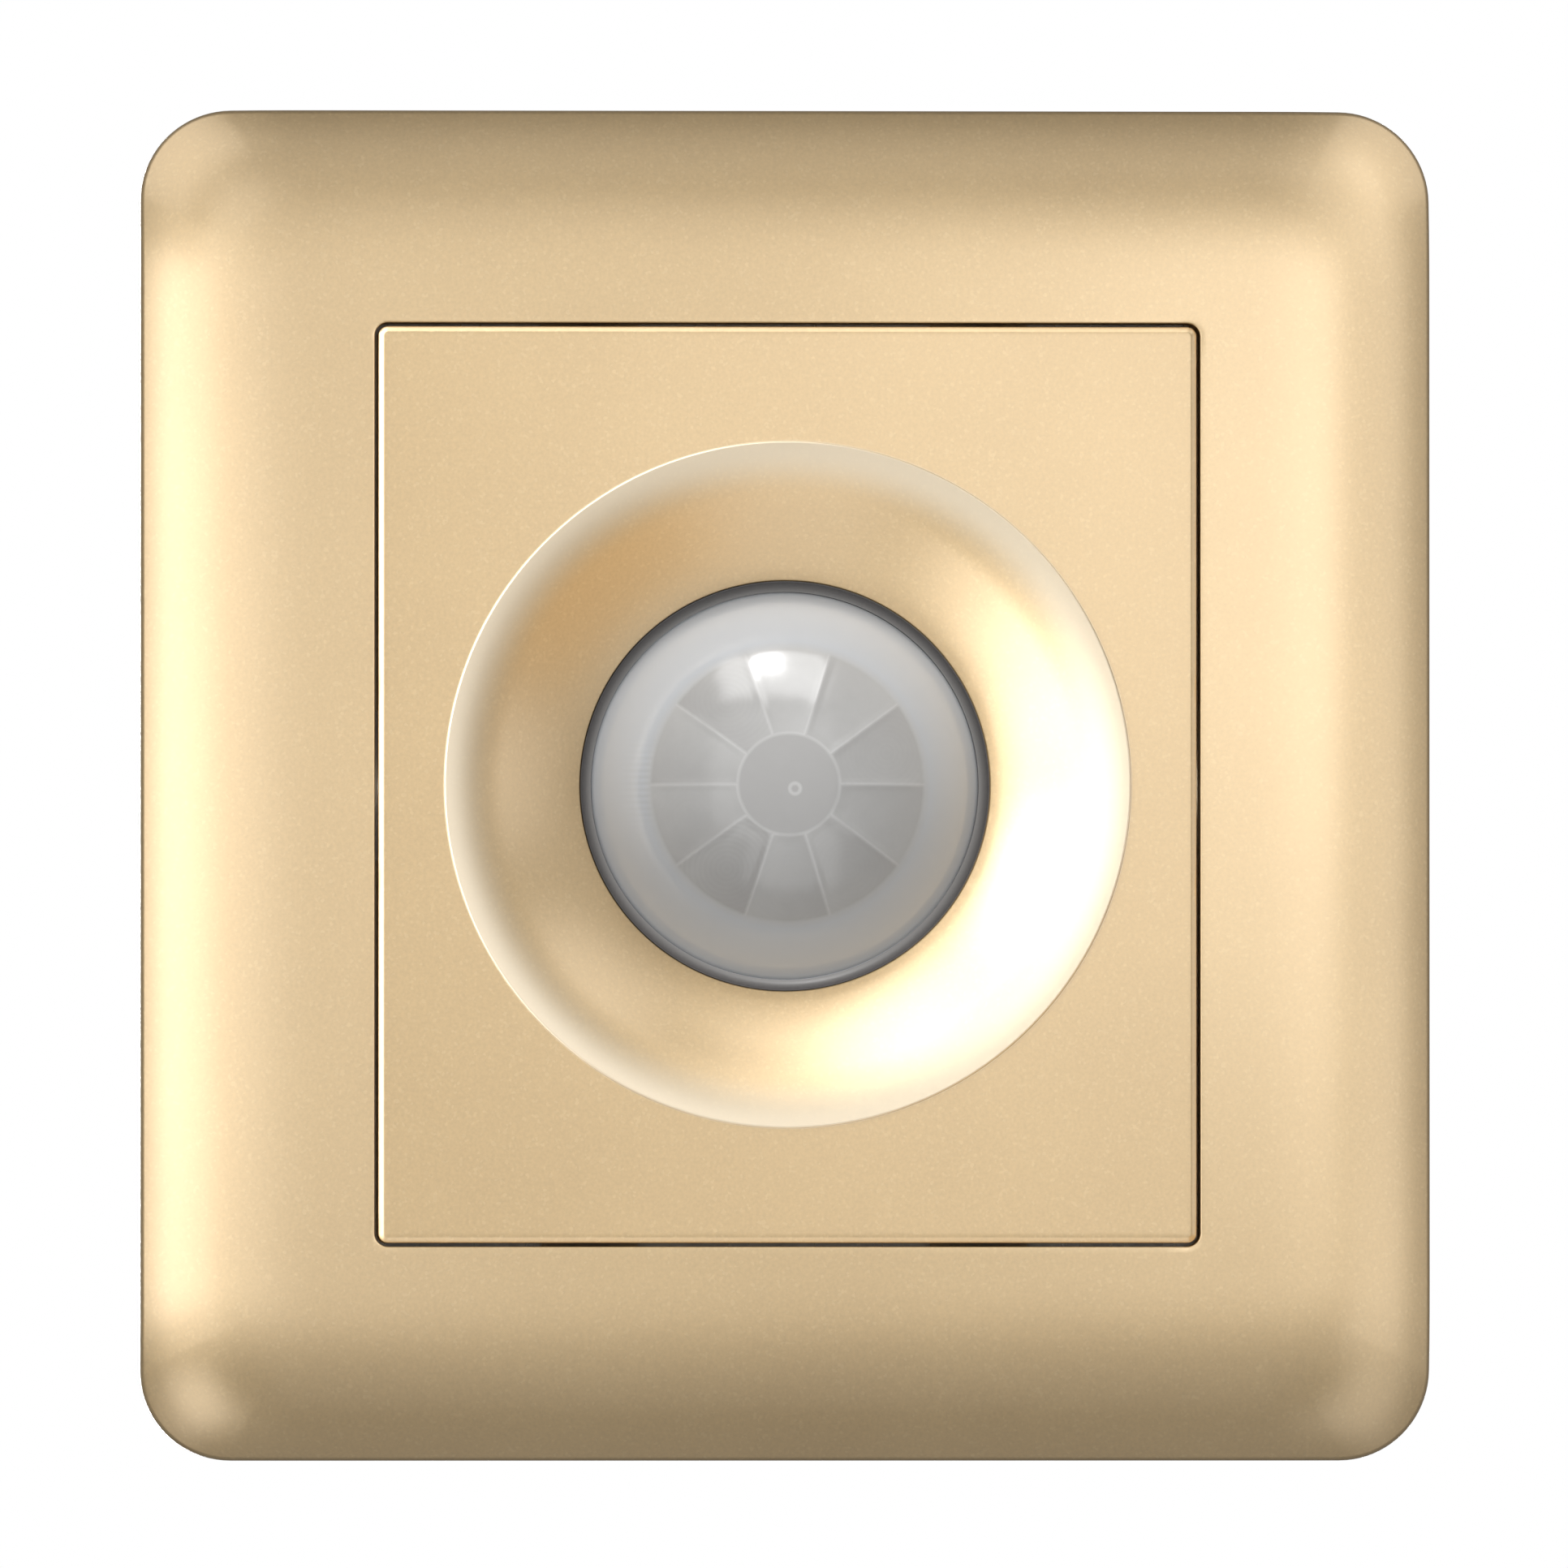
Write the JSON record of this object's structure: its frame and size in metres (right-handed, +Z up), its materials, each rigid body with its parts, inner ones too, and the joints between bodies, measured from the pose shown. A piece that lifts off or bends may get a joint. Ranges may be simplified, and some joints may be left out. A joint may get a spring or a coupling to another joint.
{
  "type": "motion sensor light switch",
  "caption": "Square wall switch with rounded shoulders, an inset face with a round dish and a milky faceted motion sensor lens, a push-fit frame and a rear box with terminals.",
  "frame": {"origin": "centre of the wall plane, midway between the two wall box screws", "axes": "+X to the right and +Z up as seen from the room, +Y into the wall"},
  "size_m": [0.086, 0.0393, 0.09],
  "materials": {
    "champagne_paint": "satin champagne metallic paint on moulded plastic",
    "lens_milky": "milky translucent moulded lens, semi gloss",
    "bezel_dark": "dark grey moulded plastic, semi gloss",
    "housing_white": "off-white moulded plastic, fine matte grain",
    "zinc_steel": "zinc plated steel",
    "board_green": "green lacquered circuit board",
    "black_plastic": "black moulded plastic",
    "contact_brass": "bright brass",
    "coil_copper": "enamelled copper",
    "can_steel": "nickel plated can",
    "stem_gold": "gold plated stem",
    "filter_glass": "dark infrared filter window",
    "relay_blue": "blue moulded plastic",
    "terminal_green": "green moulded plastic",
    "film_yellow": "yellow moulded box",
    "sleeve_navy": "dark blue shrink sleeve",
    "fuse_sage": "grey green lacquer",
    "cell_orange": "light cell in clear lacquer",
    "led_red": "red tinted clear plastic",
    "chip_tan": "ceramic chip parts"
  },
  "bodies": {
    "switch": {"sensor_face": "champagne_paint", "lens_bezel": "bezel_dark", "fresnel_lens": "lens_milky", "lens_retainer": "black_plastic", "mounting_bracket": "zinc_steel", "ear_screws": "zinc_steel", "rear_housing": "housing_white", "case_screws": "zinc_steel", "sensor_board": "board_green", "board_screws": "zinc_steel", "board_spacers": "housing_white", "power_board": "board_green", "header_block": "black_plastic", "header_pins": "contact_brass", "pir_can": "can_steel", "pir_window": "filter_glass", "pir_stem": "stem_gold", "light_cell": "cell_orange", "status_led": "led_red", "signal_chip": "black_plastic", "chip_parts": "chip_tan", "timing_capacitors": "sleeve_navy", "relay_base": "black_plastic", "relay_cover": "relay_blue", "relay_yoke": "zinc_steel", "relay_coil": "coil_copper", "relay_fixed_contact": "contact_brass", "relay_pins": "contact_brass", "film_capacitor": "film_yellow", "filter_capacitors": "sleeve_navy", "varistor": "relay_blue", "fuse_resistor": "fuse_sage", "rectifier_diodes": "black_plastic", "relay_driver": "black_plastic", "time_adjuster": "relay_blue", "light_adjuster": "relay_blue", "terminal_block": "terminal_green", "terminal_contacts": "contact_brass"},
    "cover": {"frame_cover": "champagne_paint"},
    "armature": {"relay_armature": "zinc_steel", "relay_moving_contact": "contact_brass"},
    "time_dial": {"time_spindle": "housing_white"},
    "light_dial": {"light_spindle": "housing_white"},
    "screw_1": {"terminal_screw_1": "zinc_steel"},
    "clamp_1": {"terminal_clamp_1": "zinc_steel"},
    "screw_2": {"terminal_screw_2": "zinc_steel"},
    "clamp_2": {"terminal_clamp_2": "zinc_steel"},
    "screw_3": {"terminal_screw_3": "zinc_steel"},
    "clamp_3": {"terminal_clamp_3": "zinc_steel"}
  },
  "joints": [
    {"name": "cover_pull", "type": "slide", "parent": "switch", "child": "cover", "axis": [0, -1, 0], "range_m": [0, 0.03]},
    {"name": "time_turn", "type": "hinge", "parent": "switch", "child": "time_dial", "pos_m": [-0.01785, 0.02, -0.0157], "axis": [0, 1, 0], "range_deg": [-135, 135]},
    {"name": "light_turn", "type": "hinge", "parent": "switch", "child": "light_dial", "pos_m": [0.01785, 0.02, -0.0157], "axis": [0, 1, 0], "range_deg": [-135, 135]},
    {"name": "relay_pull_in", "type": "hinge", "parent": "switch", "child": "armature", "pos_m": [-0.01885, 0.0229, 0.0122], "axis": [0, 0, -1], "range_deg": [0, 3.8], "stiffness_Nm_per_rad": 0.005, "springref_deg": -2.86},
    {"name": "screw_1_turn", "type": "hinge", "parent": "switch", "child": "screw_1", "pos_m": [-0.00762, 0.025, -0.0213], "axis": [0, -1, 0], "range_deg": [0, 2160]},
    {"name": "clamp_1_rise", "type": "slide", "parent": "switch", "child": "clamp_1", "axis": [0, 1, 0], "range_m": [0, 0.003]},
    {"name": "screw_2_turn", "type": "hinge", "parent": "switch", "child": "screw_2", "pos_m": [0, 0.025, -0.0213], "axis": [0, -1, 0], "range_deg": [0, 2160]},
    {"name": "clamp_2_rise", "type": "slide", "parent": "switch", "child": "clamp_2", "axis": [0, 1, 0], "range_m": [0, 0.003]},
    {"name": "screw_3_turn", "type": "hinge", "parent": "switch", "child": "screw_3", "pos_m": [0.00762, 0.025, -0.0213], "axis": [0, -1, 0], "range_deg": [0, 2160]},
    {"name": "clamp_3_rise", "type": "slide", "parent": "switch", "child": "clamp_3", "axis": [0, 1, 0], "range_m": [0, 0.003]}
  ],
  "couplings": [
    {"joint": "screw_1_turn", "follows": "clamp_1_rise", "rad_per_m": 12566},
    {"joint": "screw_2_turn", "follows": "clamp_2_rise", "rad_per_m": 12566},
    {"joint": "screw_3_turn", "follows": "clamp_3_rise", "rad_per_m": 12566}
  ]
}
